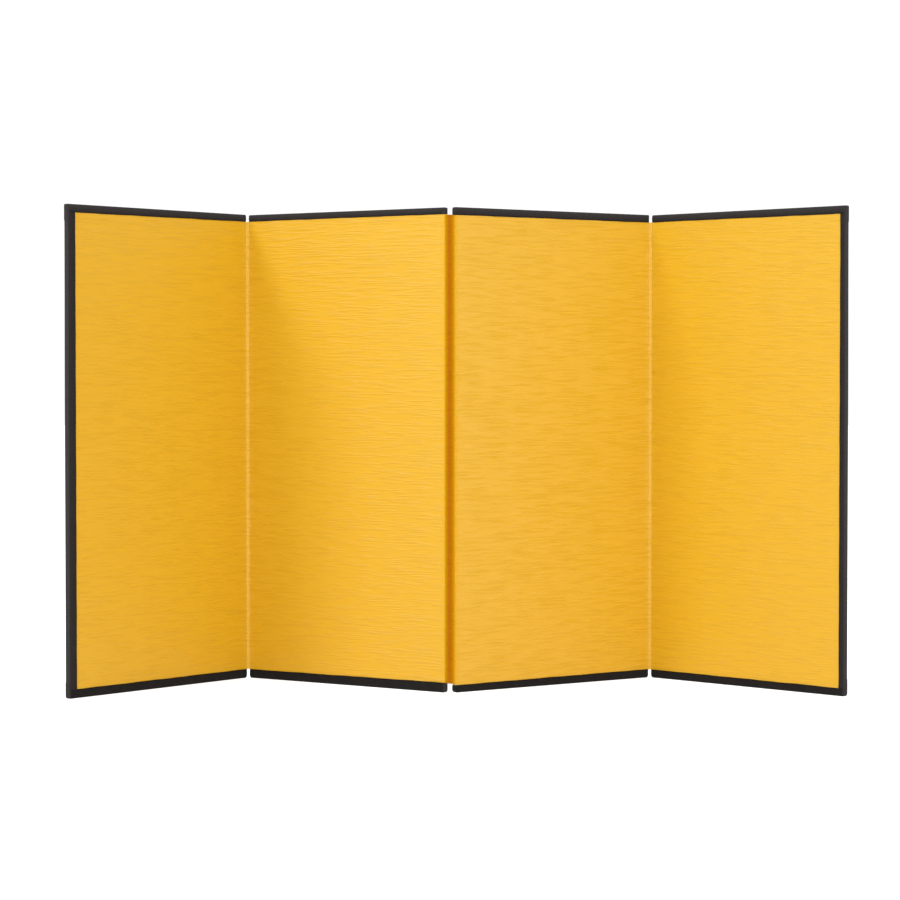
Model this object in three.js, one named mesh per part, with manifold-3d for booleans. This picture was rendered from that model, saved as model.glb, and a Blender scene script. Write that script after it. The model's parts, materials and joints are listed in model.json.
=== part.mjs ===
// Miniature four-panel folding screen, standing in a zigzag.
// Each panel is a board faced with gold cloth in front and lining paper behind. Black
// binding tape is folded over its top and bottom edges and over the screen's two outer
// sides. The panels are joined by strips of the same cloth and paper, pasted across
// the folds: a valley fold bends away from the viewer, and the mountain fold bends
// towards the viewer.
// Millimetres, +Z up, the gold front faces -Y, +X to the right seen from the front.

import * as THREE from 'three';
import { mergeVertices } from 'three/addons/utils/BufferGeometryUtils.js';
import Module from 'manifold-3d';

const wasm = await Module();
wasm.setup();

// ---------------------------------------------------------------- driving dimensions

const PANEL_HEIGHT = 210;
const PANEL_WIDTH = 106;

const BOARD_THICKNESS = 1.6;
const CLOTH_THICKNESS = 0.25;
const PAPER_THICKNESS = 0.15;
const TAPE_THICKNESS = 0.15;
const PASTE_FILM = 0.05; // dried paste between two layers laid on each other
const EDGE_GAP = 0.3; // between two pieces that are laid edge to edge

const TOP_CORNER_RADIUS = 0.5; // of a bound panel, seen from the front
const BOTTOM_CORNER_RADIUS = 1.2; // worn rounder by standing and being moved

const SIDE_BINDING_LEFT = 3.9; // width of the flanges on the outer left side
const SIDE_BINDING_RIGHT = 2.5;
const CORNER_TAB = 7; // length of the binding's end, folded over the outer side

const VALLEY_CLEARANCE = 0.6; // from a panel's end to the valley fold's axis
const MOUNTAIN_CLEARANCE = 1.0; // from a panel's end to the mountain fold's axis
const AXIS_STANDOFF = 0.2; // from a panel's face to the fold's axis, so it shuts flat

// Each panel's turn about +Z as it stands, and the widths its bindings were folded to.
const panels = [
  { name: 'panel_1', turn: 49.2, left: 'outer', right: 'valley', topBinding: 3.2, bottomBinding: 3.9 },
  { name: 'panel_2', turn: -33.1, left: 'valley', right: 'mountain', topBinding: 3.0, bottomBinding: 4.0 },
  { name: 'panel_3', turn: 33.9, left: 'mountain', right: 'valley', topBinding: 3.2, bottomBinding: 3.6 },
  { name: 'panel_4', turn: -43.4, left: 'valley', right: 'outer', topBinding: 3.3, bottomBinding: 3.6 },
];

const CORNER_SEGMENTS = 5; // flats in each rounded corner

const CLEARANCE = { valley: VALLEY_CLEARANCE, mountain: MOUNTAIN_CLEARANCE };

// ---------------------------------------------------------------- layers of a panel

// A panel's own frame: x along its width from its left edge, y from its front face to
// its back face, z up. The layers are stacked along y.
const wrap = TAPE_THICKNESS + PASTE_FILM;
const clothFront = wrap;
const clothBack = clothFront + CLOTH_THICKNESS;
const boardFront = clothBack + PASTE_FILM;
const boardBack = boardFront + BOARD_THICKNESS;
const paperFront = boardBack + PASTE_FILM;
const paperBack = paperFront + PAPER_THICKNESS;
const panelThickness = paperBack + wrap;

// How far a board stops short of its panel's edge: room for the lining of a fold's
// groove, or for the side binding with the corner tab over it.
const liningRoom = CLOTH_THICKNESS + PASTE_FILM;
const INSET = { valley: liningRoom, mountain: liningRoom, outer: 2 * wrap };

for (const panel of panels) {
  panel.boardLeft = INSET[panel.left];
  panel.boardRight = PANEL_WIDTH - INSET[panel.right];
  panel.boardBottom = wrap;
  panel.boardTop = PANEL_HEIGHT - wrap;
}

// ---------------------------------------------------------------- materials

const materials = {
  core_board: new THREE.MeshStandardMaterial({ color: '#b9ab90', roughness: 0.95 }),
  gold_cloth: new THREE.MeshStandardMaterial({ color: '#eeb43a', roughness: 0.55, metalness: 0.25 }),
  back_paper: new THREE.MeshStandardMaterial({ color: '#3d3b3c', roughness: 0.9 }),
  black_binding: new THREE.MeshStandardMaterial({ color: '#2b2b2c', roughness: 0.8 }),
};

// ---------------------------------------------------------------- solids

function toSolid(geometry) {
  const bare = geometry.clone();
  bare.deleteAttribute('normal');
  bare.deleteAttribute('uv');
  const merged = mergeVertices(bare);
  const vertProperties = new Float32Array(merged.attributes.position.array);
  const triVerts = new Uint32Array(merged.index.array);
  return new wasm.Manifold(new wasm.Mesh({ numProp: 3, vertProperties, triVerts }));
}

function toGeometry(solid) {
  const { vertProperties, triVerts } = solid.getMesh();
  const geometry = new THREE.BufferGeometry();
  geometry.setAttribute('position', new THREE.BufferAttribute(vertProperties, 3));
  geometry.setIndex(new THREE.BufferAttribute(triVerts, 1));
  geometry.computeVertexNormals();
  return geometry;
}

// A flat layer seen from the front as a rectangle with rounded corners, lying between
// two depths. Its corner radii are the bound panel's, less how far it lies inside it.
function layer([x0, x1], [y0, y1], [z0, z1], bottomInside, topInside) {
  const low = BOTTOM_CORNER_RADIUS - bottomInside;
  const high = TOP_CORNER_RADIUS - topInside;
  const outline = new THREE.Shape();
  outline.absarc(x1 - low, z0 + low, low, -Math.PI / 2, 0);
  outline.absarc(x1 - high, z1 - high, high, 0, Math.PI / 2);
  outline.absarc(x0 + high, z1 - high, high, Math.PI / 2, Math.PI);
  outline.absarc(x0 + low, z0 + low, low, Math.PI, 1.5 * Math.PI);
  const geometry = new THREE.ExtrudeGeometry(outline, {
    depth: y1 - y0,
    bevelEnabled: false,
    curveSegments: CORNER_SEGMENTS,
  });
  // Stood upright: the outline's y becomes height, and it is extruded towards -y.
  return geometry.rotateX(Math.PI / 2).translate(0, y1, 0);
}

function block([x0, x1], [y0, y1], [z0, z1]) {
  const geometry = new THREE.BoxGeometry(x1 - x0, y1 - y0, z1 - z0);
  return geometry.translate((x0 + x1) / 2, (y0 + y1) / 2, (z0 + z1) / 2);
}

function named(name, geometry, slot) {
  const mesh = new THREE.Mesh(geometry, materials[slot]);
  mesh.name = name;
  return mesh;
}

// ---------------------------------------------------------------- pieces of one panel

// The board and what is pasted flat on it share one outline.
function boardLayer(panel, depths) {
  const width = [panel.boardLeft, panel.boardRight];
  return layer(width, depths, [panel.boardBottom, panel.boardTop], wrap, wrap);
}

function coreBoard(panel) {
  const board = boardLayer(panel, [boardFront, boardBack]);
  return named(`${panel.name}_core_board`, board, 'core_board');
}

function goldCloth(panel) {
  const cloth = boardLayer(panel, [clothFront, clothBack]);
  return named(`${panel.name}_gold_cloth`, cloth, 'gold_cloth');
}

function backPaper(panel) {
  const paper = boardLayer(panel, [paperFront, paperBack]);
  return named(`${panel.name}_back_paper`, paper, 'back_paper');
}

// A binding along a panel's top or bottom edge: a folded cap with a flange in front, a
// web over the edge, a flange behind and an end tab over each end of the board. On the
// screen's outer side the tab is longer and lies over the side binding.
function edgeBinding(panel, edge) {
  const isTop = edge === 'top';
  const width = isTop ? panel.topBinding : panel.bottomBinding;
  const capEnd = { valley: wrap, mountain: wrap, outer: 2 * wrap };
  const left = panel.boardLeft - capEnd[panel.left];
  const right = panel.boardRight + capEnd[panel.right];
  const low = isTop ? PANEL_HEIGHT - width : 0;
  const high = isTop ? PANEL_HEIGHT : width;

  // The bound panel as a whole, hollowed to leave the tape, and kept near this edge.
  const whole = layer([left, right], [0, panelThickness], [0, PANEL_HEIGHT], 0, 0);
  const hollow = layer(
    [left + TAPE_THICKNESS, right - TAPE_THICKNESS],
    [TAPE_THICKNESS, panelThickness - TAPE_THICKNESS],
    [TAPE_THICKNESS, PANEL_HEIGHT - TAPE_THICKNESS],
    TAPE_THICKNESS,
    TAPE_THICKNESS,
  );
  const nearEdge = block([left, right], [0, panelThickness], [low, high]);
  let cap = toSolid(whole).subtract(toSolid(hollow)).intersect(toSolid(nearEdge));

  const cornerRadius = isTop ? TOP_CORNER_RADIUS : BOTTOM_CORNER_RADIUS;
  const tabHeights = isTop
    ? [PANEL_HEIGHT - CORNER_TAB, PANEL_HEIGHT - cornerRadius]
    : [cornerRadius, CORNER_TAB];
  if (panel.left === 'outer') {
    const tab = block([left, left + TAPE_THICKNESS], [0, panelThickness], tabHeights);
    cap = cap.add(toSolid(tab));
  }
  if (panel.right === 'outer') {
    const tab = block([right - TAPE_THICKNESS, right], [0, panelThickness], tabHeights);
    cap = cap.add(toSolid(tab));
  }
  return named(`${panel.name}_${edge}_binding`, toGeometry(cap), 'black_binding');
}

// The binding down an outer side: flanges between the top and bottom bindings, and a
// web whose ends run on under their corner tabs.
function sideBinding(panel) {
  const isLeft = panel.left === 'outer';
  const flangeWidth = isLeft ? SIDE_BINDING_LEFT : SIDE_BINDING_RIGHT;
  const flangeBottom = panel.bottomBinding + EDGE_GAP;
  const flangeTop = PANEL_HEIGHT - panel.topBinding - EDGE_GAP;

  // Plan section with the web's outer face on x = 0 and the flanges towards +x.
  const back = panelThickness;
  const section = new THREE.Shape([
    new THREE.Vector2(0, 0),
    new THREE.Vector2(flangeWidth, 0),
    new THREE.Vector2(flangeWidth, TAPE_THICKNESS),
    new THREE.Vector2(TAPE_THICKNESS, TAPE_THICKNESS),
    new THREE.Vector2(TAPE_THICKNESS, back - TAPE_THICKNESS),
    new THREE.Vector2(flangeWidth, back - TAPE_THICKNESS),
    new THREE.Vector2(flangeWidth, back),
    new THREE.Vector2(0, back),
  ]);
  const channel = new THREE.ExtrudeGeometry(section, {
    depth: flangeTop - flangeBottom,
    bevelEnabled: false,
  }).translate(0, 0, flangeBottom);
  const tongueEnds = [BOTTOM_CORNER_RADIUS, PANEL_HEIGHT - TOP_CORNER_RADIUS];
  const tongue = block([0, TAPE_THICKNESS], [wrap, back - wrap], tongueEnds);
  const geometry = toGeometry(toSolid(channel).add(toSolid(tongue)));

  const mesh = named(`${panel.name}_side_binding`, geometry, 'black_binding');
  if (isLeft) {
    mesh.position.x = panel.boardLeft - wrap;
  } else {
    // Turned half round, so that the web lies over the right end of the board.
    mesh.rotation.z = Math.PI;
    mesh.position.set(panel.boardRight + wrap, panelThickness, 0);
  }
  return mesh;
}

function buildPanel(panel) {
  const group = new THREE.Group();
  group.rotation.z = THREE.MathUtils.degToRad(panel.turn);
  group.add(coreBoard(panel), goldCloth(panel), backPaper(panel));
  group.add(edgeBinding(panel, 'top'), edgeBinding(panel, 'bottom'));
  if (panel.left === 'outer' || panel.right === 'outer') group.add(sideBinding(panel));
  return group;
}

// ---------------------------------------------------------------- folds

// The axis of the fold at one end of a panel, in the panel's own frame. A valley fold
// turns in front of the front face, and a mountain fold turns behind the back face.
function axisInPanel(panel, end) {
  const kind = panel[end];
  const x = end === 'left' ? -CLEARANCE[kind] : PANEL_WIDTH + CLEARANCE[kind];
  const y = kind === 'valley' ? -AXIS_STANDOFF : panelThickness + AXIS_STANDOFF;
  return new THREE.Vector3(x, y, 0);
}

// A point near a fold, in the fold's own frame: inward is its distance from the panel's
// end, towards the middle of the panel, and depth its distance from the front face.
function pointAtFold(panel, end, inward, depth) {
  const x = end === 'left' ? inward : PANEL_WIDTH - inward;
  const point = new THREE.Vector3(x, depth, 0).sub(axisInPanel(panel, end));
  point.applyAxisAngle(new THREE.Vector3(0, 0, 1), THREE.MathUtils.degToRad(panel.turn));
  return new THREE.Vector2(point.x, point.y);
}

// Fold pieces reach from binding to binding, as the cloth shows between them.
function extrudeUpFold(leftPanel, rightPanel, outline) {
  const bottom = Math.max(leftPanel.bottomBinding, rightPanel.bottomBinding) + EDGE_GAP;
  const topWidth = Math.max(leftPanel.topBinding, rightPanel.topBinding);
  const top = PANEL_HEIGHT - topWidth - EDGE_GAP;
  const shape = new THREE.Shape(outline);
  return new THREE.ExtrudeGeometry(shape, { depth: top - bottom, bevelEnabled: false })
    .translate(0, 0, bottom);
}

// The strip on the tight side of a fold carries one facing straight across the gap.
function coverStrip(leftPanel, rightPanel, nearDepth, farDepth) {
  const inward = INSET[leftPanel.right] - PASTE_FILM;
  return extrudeUpFold(leftPanel, rightPanel, [
    pointAtFold(leftPanel, 'right', inward, nearDepth),
    pointAtFold(rightPanel, 'left', inward, nearDepth),
    pointAtFold(rightPanel, 'left', inward, farDepth),
    pointAtFold(leftPanel, 'right', inward, farDepth),
  ]);
}

// The lining of the groove on the open side runs down one board's end, across behind
// the cover strip and up the other board's end.
function grooveLining(leftPanel, rightPanel, thickness, mouthDepth, floorDepth) {
  const ends = INSET[leftPanel.right] - PASTE_FILM;
  const inner = ends - thickness;
  const floorInner = floorDepth + Math.sign(mouthDepth - floorDepth) * thickness;
  return extrudeUpFold(leftPanel, rightPanel, [
    pointAtFold(leftPanel, 'right', ends, mouthDepth),
    pointAtFold(leftPanel, 'right', ends, floorDepth),
    pointAtFold(rightPanel, 'left', ends, floorDepth),
    pointAtFold(rightPanel, 'left', ends, mouthDepth),
    pointAtFold(rightPanel, 'left', inner, mouthDepth),
    pointAtFold(rightPanel, 'left', inner, floorInner),
    pointAtFold(leftPanel, 'right', inner, floorInner),
    pointAtFold(leftPanel, 'right', inner, mouthDepth),
  ]);
}

// A valley fold: gold cloth across the front, paper in the groove behind.
function buildValley(name, leftPanel, rightPanel) {
  const cloth = coverStrip(leftPanel, rightPanel, clothFront, clothBack);
  const paper = grooveLining(leftPanel, rightPanel, PAPER_THICKNESS, paperBack, boardFront);
  const group = new THREE.Group();
  group.add(named(`${name}_cloth_strip`, cloth, 'gold_cloth'));
  group.add(named(`${name}_groove_lining`, paper, 'back_paper'));
  return group;
}

// A mountain fold: paper across the back, gold cloth in the groove in front.
function buildMountain(name, leftPanel, rightPanel) {
  const paper = coverStrip(leftPanel, rightPanel, paperFront, paperBack);
  const cloth = grooveLining(leftPanel, rightPanel, CLOTH_THICKNESS, clothFront, boardBack);
  const group = new THREE.Group();
  group.add(named(`${name}_paper_strip`, paper, 'back_paper'));
  group.add(named(`${name}_groove_lining`, cloth, 'gold_cloth'));
  return group;
}

// ---------------------------------------------------------------- assembly

// The vector from a panel's origin to one of its fold axes, as the panel stands.
function toAxis(panel, end) {
  const turn = THREE.MathUtils.degToRad(panel.turn);
  return axisInPanel(panel, end).applyAxisAngle(new THREE.Vector3(0, 0, 1), turn);
}

const screen = new THREE.Group();
const [panel1, panel2, panel3, panel4] = panels;
const [group1, group2, group3, group4] = panels.map(buildPanel);
const leftValley = buildValley('left_valley', panel1, panel2);
const mountain = buildMountain('centre_mountain', panel2, panel3);
const rightValley = buildValley('right_valley', panel3, panel4);

// The folds are placed one after the other, outwards from the mountain fold at the middle.
group2.position.copy(mountain.position).sub(toAxis(panel2, 'right'));
leftValley.position.copy(group2.position).add(toAxis(panel2, 'left'));
group1.position.copy(leftValley.position).sub(toAxis(panel1, 'right'));
group3.position.copy(mountain.position).sub(toAxis(panel3, 'left'));
rightValley.position.copy(group3.position).add(toAxis(panel3, 'right'));
group4.position.copy(rightValley.position).sub(toAxis(panel4, 'left'));

screen.add(group1, group2, group3, group4, leftValley, mountain, rightValley);

// The origin is under the middle of the screen, on the surface that it stands on.
screen.updateMatrixWorld(true);
const spread = new THREE.Box3().setFromObject(screen, true);
const centre = spread.getCenter(new THREE.Vector3());
screen.position.set(-centre.x, -centre.y, -spread.min.z);
screen.updateMatrixWorld(true);

export default screen;
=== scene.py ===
import json
import math

import bpy
import numpy as np
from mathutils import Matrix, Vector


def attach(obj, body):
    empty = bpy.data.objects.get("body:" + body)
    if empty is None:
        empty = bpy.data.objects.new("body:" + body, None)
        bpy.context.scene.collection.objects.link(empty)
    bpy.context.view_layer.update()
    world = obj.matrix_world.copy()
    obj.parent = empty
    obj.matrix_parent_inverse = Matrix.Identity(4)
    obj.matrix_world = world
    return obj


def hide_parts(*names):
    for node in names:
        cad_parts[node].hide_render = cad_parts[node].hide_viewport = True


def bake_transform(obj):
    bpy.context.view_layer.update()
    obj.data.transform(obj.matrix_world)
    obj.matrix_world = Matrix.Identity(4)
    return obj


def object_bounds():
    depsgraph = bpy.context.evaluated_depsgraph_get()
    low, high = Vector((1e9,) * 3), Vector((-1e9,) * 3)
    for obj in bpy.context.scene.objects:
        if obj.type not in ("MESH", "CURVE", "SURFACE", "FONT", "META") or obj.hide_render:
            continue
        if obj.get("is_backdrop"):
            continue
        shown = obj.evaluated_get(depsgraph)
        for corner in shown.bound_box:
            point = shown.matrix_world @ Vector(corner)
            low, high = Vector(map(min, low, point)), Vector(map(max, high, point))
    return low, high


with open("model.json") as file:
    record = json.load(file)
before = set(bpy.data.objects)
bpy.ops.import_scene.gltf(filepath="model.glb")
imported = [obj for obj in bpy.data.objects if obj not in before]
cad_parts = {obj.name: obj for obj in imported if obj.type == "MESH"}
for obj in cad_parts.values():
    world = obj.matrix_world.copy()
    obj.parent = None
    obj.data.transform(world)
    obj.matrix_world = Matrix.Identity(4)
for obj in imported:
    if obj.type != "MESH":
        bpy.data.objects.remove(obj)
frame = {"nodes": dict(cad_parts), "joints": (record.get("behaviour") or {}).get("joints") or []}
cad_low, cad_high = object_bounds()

# A miniature folding screen of four bound panels, faced with gold cloth, standing in a
# zigzag on a white table. Two outer folds bend away from the eye, the middle one towards it.

# ---------------------------------------------------------------- the eye and the studio
# A long lens looks straight at the middle fold, from above half height and slightly down.
# White card stands all round. A small softbox high on the left rakes panels 2 and 4 and
# brings out their slubs, and two low ones, on the right and in front, fill all four panels.

screen_height = cad_high.z - cad_low.z


def fold_axis(name):
    """Where a fold's axis stands in plan."""
    joint = next(j for j in frame["joints"] if j["name"] == name)
    return np.array(joint["pos_m"][:2])


EYE_DISTANCE = 5.548 * screen_height
EYE_HEIGHT = 0.659 * screen_height
EYE_TILT = math.radians(1.63)
LENS = 107.7

eye_x, eye_y = fold_axis("centre_mountain_fold")
camera = bpy.data.objects.new("eye", bpy.data.cameras.new("eye"))
camera.data.lens = LENS
camera.location = (eye_x, eye_y - EYE_DISTANCE, EYE_HEIGHT)
camera.rotation_euler = (math.pi / 2 - EYE_TILT, 0, 0)
bpy.context.scene.collection.objects.link(camera)
bpy.context.scene.camera = camera
bpy.context.scene.view_settings.view_transform = "Standard"

CARD_SEEN = 1.05
CARD_GLOW = 0.87
world = bpy.data.worlds.new("white_card")
world.use_nodes = True
card_tree = world.node_tree
seen = card_tree.nodes.new("ShaderNodeLightPath")
level = card_tree.nodes.new("ShaderNodeMapRange")
level.inputs["To Min"].default_value = CARD_GLOW
level.inputs["To Max"].default_value = CARD_SEEN
card_tree.links.new(seen.outputs["Is Camera Ray"], level.inputs["Value"])
card_tree.links.new(level.outputs["Result"], card_tree.nodes["Background"].inputs["Strength"])
card_tree.nodes["Background"].inputs["Color"].default_value = (1, 1, 1, 1)
bpy.context.scene.world = world


def soft_lamp(name, place, aim, size, power, colour=(1.0, 1.0, 1.0)):
    """A softbox, so wide and so high, facing the point that it is aimed at."""
    light = bpy.data.lights.new(name, "AREA")
    light.shape = "RECTANGLE"
    light.size, light.size_y = size
    light.energy = power
    light.color = colour
    lamp = bpy.data.objects.new(name, light)
    lamp.location = place
    lamp.rotation_euler = (lamp.location - aim).to_track_quat("Z", "Y").to_euler()
    lamp.visible_camera = False
    bpy.context.scene.collection.objects.link(lamp)


middle = (cad_low + cad_high) / 2
soft_lamp("lamp_left", (-1.42, -0.75, 1.25), middle, (0.48, 0.48), 13.6, (0.90, 1.0, 1.0))
soft_lamp("lamp_right", (0.68, -0.81, 0.14), middle, (0.5, 0.5), 5.0)
soft_lamp("lamp_front", (-0.80, -1.50, 0.08), middle, (0.8, 0.8), 12.0)

# ---------------------------------------------------------------- the table
# A plain white table top that reaches far past the view, so that none of its edges shows.
# It is only the stage, and isn't part of the screen.

FLOOR_REACH = 6.0
FLOOR_SEEN = 0.72
FLOOR_GLOW = 0.21
floor_mesh = bpy.data.meshes.new("table_top")
floor_signs = [(-1, -1), (1, -1), (1, 1), (-1, 1)]
floor_corners = [(x * FLOOR_REACH, y * FLOOR_REACH, 0) for x, y in floor_signs]
floor_mesh.from_pydata(floor_corners, [], [(0, 1, 2, 3)])
floor = bpy.data.objects.new("table_top", floor_mesh)
bpy.context.scene.collection.objects.link(floor)
floor_white = bpy.data.materials.new("table_white")
floor_white.use_nodes = True
floor_tree = floor_white.node_tree
floor_shader = floor_tree.nodes["Principled BSDF"]
floor_shader.inputs["Base Color"].default_value = (0.80, 0.80, 0.80, 1)
floor_shader.inputs["Roughness"].default_value = 0.7
floor_shader.inputs["Emission Color"].default_value = (1, 1, 1, 1)
floor_seen = floor_tree.nodes.new("ShaderNodeLightPath")
floor_level = floor_tree.nodes.new("ShaderNodeMapRange")
floor_level.inputs["To Min"].default_value = FLOOR_GLOW
floor_level.inputs["To Max"].default_value = FLOOR_SEEN
floor_tree.links.new(floor_seen.outputs["Is Camera Ray"], floor_level.inputs["Value"])
floor_tree.links.new(floor_level.outputs["Result"], floor_shader.inputs["Emission Strength"])
floor_mesh.materials.append(floor_white)
floor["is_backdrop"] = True

# ---------------------------------------------------------------- core boards
# Stiff grey-brown millboard, cut with a knife. The boards are wholly covered, apart from
# a hair's breadth at the folds, and carry everything else.

PANELS = ("panel_1", "panel_2", "panel_3", "panel_4")


def plan_directions(panel):
    """Unit directions in plan: along the panel to its right, and inward from its gold face."""
    board = frame["nodes"][f"{panel}_core_board"].data
    widest = max(board.polygons, key=lambda face: face.area).normal
    inward = np.array([widest.x, widest.y]) * math.copysign(1, widest.y)
    inward /= np.linalg.norm(inward)
    return np.array([inward[1], -inward[0]]), inward


def local_points(panel, node):
    """A CAD node's points as (along the panel, inward from its face, up)."""
    along, inward = plan_directions(panel)
    points = np.array([v.co for v in frame["nodes"][node].data.vertices])
    return np.column_stack([points[:, :2] @ along, points[:, :2] @ inward, points[:, 2]])


def reach(panel, node):
    """The lowest and the highest corner of a CAD node, in its panel's directions."""
    points = local_points(panel, node)
    return points.min(0), points.max(0)


def stand_up(panel, points):
    """Points given in a panel's directions, put where they stand in the room."""
    along, inward = plan_directions(panel)
    plan = np.outer(points[:, 0], along) + np.outer(points[:, 1], inward)
    return np.column_stack([plan, points[:, 2]])


def new_material(name):
    """A material with its shader, and a short way to add a wired node."""
    material = bpy.data.materials.new(name)
    material.use_nodes = True
    tree = material.node_tree

    def add(kind, wires=(), **settings):
        node = tree.nodes.new(kind)
        for key, value in settings.items():
            setattr(node, key, value)
        for socket, source in dict(wires).items():
            if isinstance(source, bpy.types.NodeSocket):
                tree.links.new(source, node.inputs[socket])
            else:
                node.inputs[socket].default_value = source
        return node

    return material, tree.nodes["Principled BSDF"], add, tree.links.new


def pulp_board():
    """Pressed pulp: grey-brown, flecked with darker and paler fibres."""
    material, shader, add, wire = new_material("pulp_board")
    place = add("ShaderNodeTexCoord").outputs["Object"]
    flecks = add("ShaderNodeTexNoise", {"Vector": place, "Scale": 1400.0, "Detail": 4.0})
    tone = add("ShaderNodeValToRGB", {"Fac": flecks.outputs["Fac"]})
    tone.color_ramp.elements[0].position = 0.3
    tone.color_ramp.elements[0].color = (0.30, 0.25, 0.17, 1)
    tone.color_ramp.elements[1].position = 0.75
    tone.color_ramp.elements[1].color = (0.52, 0.45, 0.33, 1)
    bump = add("ShaderNodeBump", {"Strength": 0.4, "Distance": 0.0001, "Height": flecks.outputs["Fac"]})
    wire(tone.outputs["Color"], shader.inputs["Base Color"])
    wire(bump.outputs["Normal"], shader.inputs["Normal"])
    shader.inputs["Roughness"].default_value = 0.95
    return material


board_material = pulp_board()
for panel in PANELS:
    board_mesh = frame["nodes"][f"{panel}_core_board"].data
    board_mesh.materials.clear()
    board_mesh.materials.append(board_material)

# ---------------------------------------------------------------- gold cloth facings
# Satin-faced gold cloth with uneven, slubbed weft yarns that run across every panel. It is
# pasted on each board's front, tight and flat, and its edges are under the black bindings.

MM = 0.001
YARN_ROW = 0.42 * MM
FACING_COLUMNS = 124
SLUB_LENGTH = 13 * MM
SLUB_HEIGHT = 0.12 * MM
YARN_HEIGHT = 0.03 * MM
# How far apart two neighbouring yarns are read in the noise, so that they have nothing in common.
ROW_STEP = 7.31
WARP_PITCH = 0.30 * MM
WEFT_PITCH = 0.21 * MM


def gold_cloth(name, gloss):
    """Gold yarns: each row a little lighter or deeper than the next, with a fine weave."""
    material, shader, add, wire = new_material(name)
    place = add("ShaderNodeUVMap", uv_map="cloth").outputs["UV"]
    along_rows = add("ShaderNodeMapping", {"Vector": place, "Scale": (90.0, 1300.0, 1.0)})
    rows = add("ShaderNodeTexNoise", {"Vector": along_rows.outputs[0], "Scale": 1.0, "Detail": 2.0})
    patches = add("ShaderNodeTexNoise", {"Vector": place, "Scale": 30.0, "Detail": 2.0})
    row_tone = add("ShaderNodeValToRGB", {"Fac": rows.outputs["Fac"]})
    row_tone.color_ramp.elements[0].position = 0.3
    row_tone.color_ramp.elements[0].color = (0.605, 0.322, 0.004, 1)
    row_tone.color_ramp.elements[1].position = 0.72
    row_tone.color_ramp.elements[1].color = (0.635, 0.342, 0.007, 1)
    tone = add(
        "ShaderNodeMix",
        {"Factor": patches.outputs["Fac"], "A": row_tone.outputs["Color"], "B": (0.620, 0.332, 0.005, 1)},
        data_type="RGBA",
    )
    # Painted shade: a point attribute darkens the cloth towards a deep orange-brown where the mountain fold's
    # groove lies in shade.
    groove_shade = add("ShaderNodeAttribute", attribute_name="groove_shade").outputs["Fac"]
    shade_in_groove = add(
        "ShaderNodeMix",
        {"Factor": groove_shade, "A": tone.outputs["Result"], "B": (0.37, 0.122, 0.0, 1)},
        data_type="RGBA",
    )
    pitches = (math.tau / WARP_PITCH, math.tau / WEFT_PITCH, 1.0)
    threads = add("ShaderNodeMapping", {"Vector": place, "Scale": pitches})
    split = add("ShaderNodeSeparateXYZ", {"Vector": threads.outputs[0]})
    warp = add("ShaderNodeMath", {0: split.outputs["X"]}, operation="SINE")
    weft = add("ShaderNodeMath", {0: split.outputs["Y"]}, operation="SINE")
    height = add("ShaderNodeMath", {0: warp.outputs[0], 1: weft.outputs[0]}, operation="MAXIMUM")
    bump = add("ShaderNodeBump", {"Strength": 0.25, "Distance": 0.00004, "Height": height.outputs[0]})
    axes = add("ShaderNodeSeparateXYZ", {"Vector": place})
    row = add("ShaderNodeMath", {0: axes.outputs["Y"], 1: YARN_ROW}, operation="DIVIDE")
    row_number = add("ShaderNodeMath", {0: row.outputs[0]}, operation="ROUND")
    off_row = add("ShaderNodeMath", {0: row.outputs[0], 1: row_number.outputs[0]}, operation="SUBTRACT")
    turn = add("ShaderNodeMath", {0: off_row.outputs[0], 1: math.pi}, operation="MULTIPLY")
    round_yarn = add("ShaderNodeMath", {0: turn.outputs[0]}, operation="COSINE")
    lengths = add("ShaderNodeMath", {0: axes.outputs["X"], 1: SLUB_LENGTH}, operation="DIVIDE")
    apart = add("ShaderNodeMath", {0: row_number.outputs[0], 1: ROW_STEP}, operation="MULTIPLY")
    yarn_place = add(
        "ShaderNodeCombineXYZ",
        {"X": lengths.outputs[0], "Y": apart.outputs[0], "Z": 3.0},
    )
    slub_noise = add("ShaderNodeTexNoise", {"Vector": yarn_place.outputs[0], "Scale": 1.0, "Detail": 0.0})
    slub = add(
        "ShaderNodeMapRange",
        {"Value": slub_noise.outputs["Fac"], "From Min": 0.45, "From Max": 0.68},
        interpolation_type="SMOOTHSTEP",
    )
    thick_yarn = add(
        "ShaderNodeMath",
        {0: slub.outputs["Result"], 1: round_yarn.outputs[0]},
        operation="MULTIPLY",
    )
    slubs = add(
        "ShaderNodeBump",
        {
            "Strength": 1.0,
            "Distance": 0.00008,
            "Height": thick_yarn.outputs[0],
            "Normal": bump.outputs["Normal"],
        },
    )
    wire(shade_in_groove.outputs["Result"], shader.inputs["Base Color"])
    wire(slubs.outputs["Normal"], shader.inputs["Normal"])
    shader.inputs["Roughness"].default_value = 0.36
    shader.inputs["Specular IOR Level"].default_value = gloss
    return material


gold_material = gold_cloth("gold_cloth", 0.5)


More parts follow.
